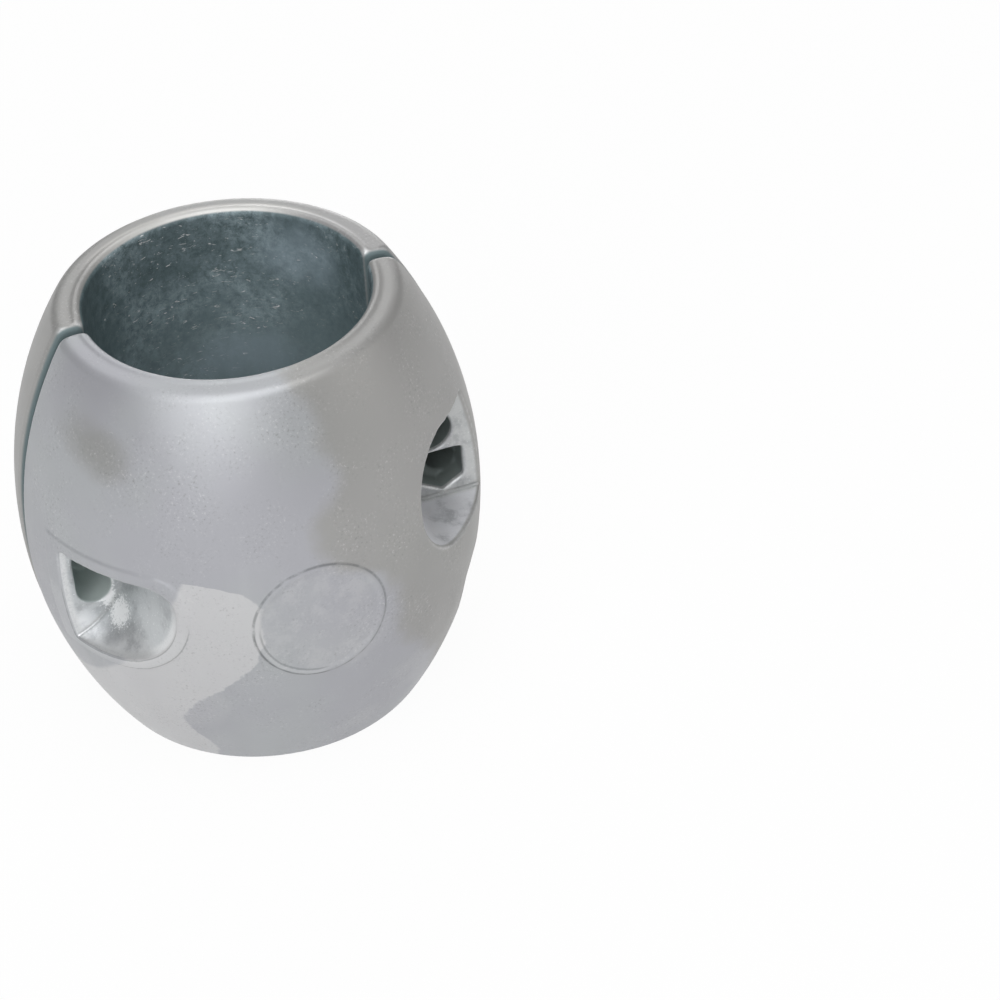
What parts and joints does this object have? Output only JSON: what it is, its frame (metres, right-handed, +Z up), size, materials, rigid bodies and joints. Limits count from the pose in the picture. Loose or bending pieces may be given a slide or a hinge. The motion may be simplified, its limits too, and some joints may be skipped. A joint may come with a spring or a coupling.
{
  "type": "sacrificial anode",
  "caption": "Barrel-shaped split collar anode of cast zinc that clamps round a boat shaft, with recessed bolt and nut pockets at the split.",
  "frame": {"origin": "on the bore axis at the bottom end face", "axes": "+Z up along the bore axis, X along the split between the halves, -Y towards the front half"},
  "size_m": [0.0834, 0.0834, 0.0828],
  "materials": {
    "zinc": "satin cast"
  },
  "bodies": {
    "root": {"front_half": "zinc", "rear_half": "zinc"}
  },
  "joints": []
}
